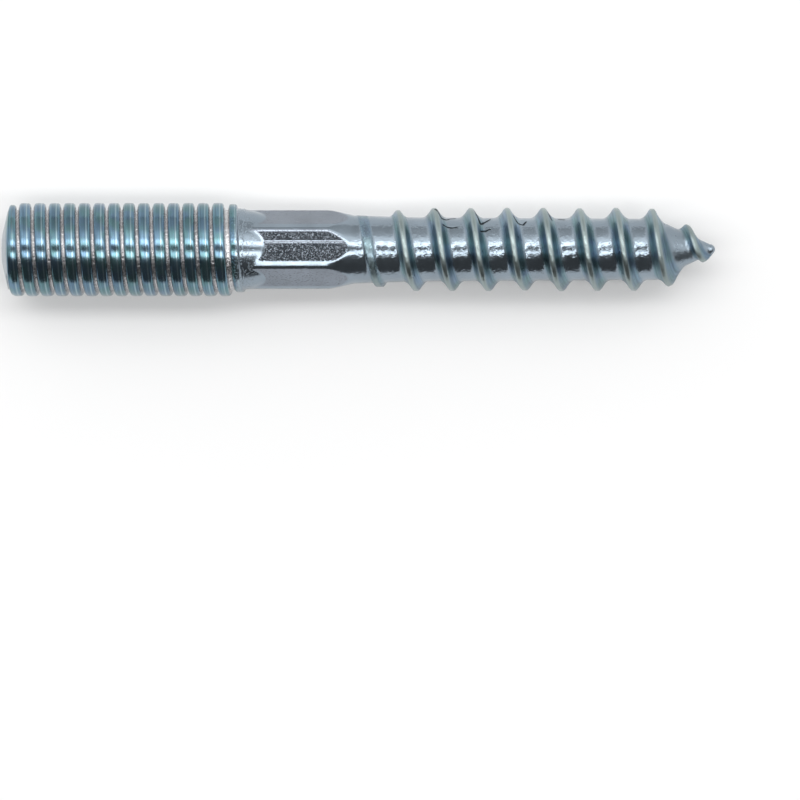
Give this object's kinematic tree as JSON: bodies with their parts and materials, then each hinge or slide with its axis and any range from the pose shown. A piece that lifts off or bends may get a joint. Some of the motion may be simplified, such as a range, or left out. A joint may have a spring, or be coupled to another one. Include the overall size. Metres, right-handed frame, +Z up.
{
  "type": "hanger bolt",
  "caption": "Short steel hanger bolt: machine-thread stud, pressed hexagon grip and coarse right-hand wood thread with a gimlet point.",
  "frame": {"origin": "middle of the bolt's box, at the floor that it lies on", "axes": "+X along the bolt from its machine-thread end to its wood-thread point, +Z up"},
  "size_m": [0.06, 0.0078, 0.0078],
  "materials": {
    "zinc_steel": "bright zinc plate with a pale blue passivation"
  },
  "bodies": {
    "root": {"hanger_bolt": "zinc_steel"}
  },
  "joints": []
}
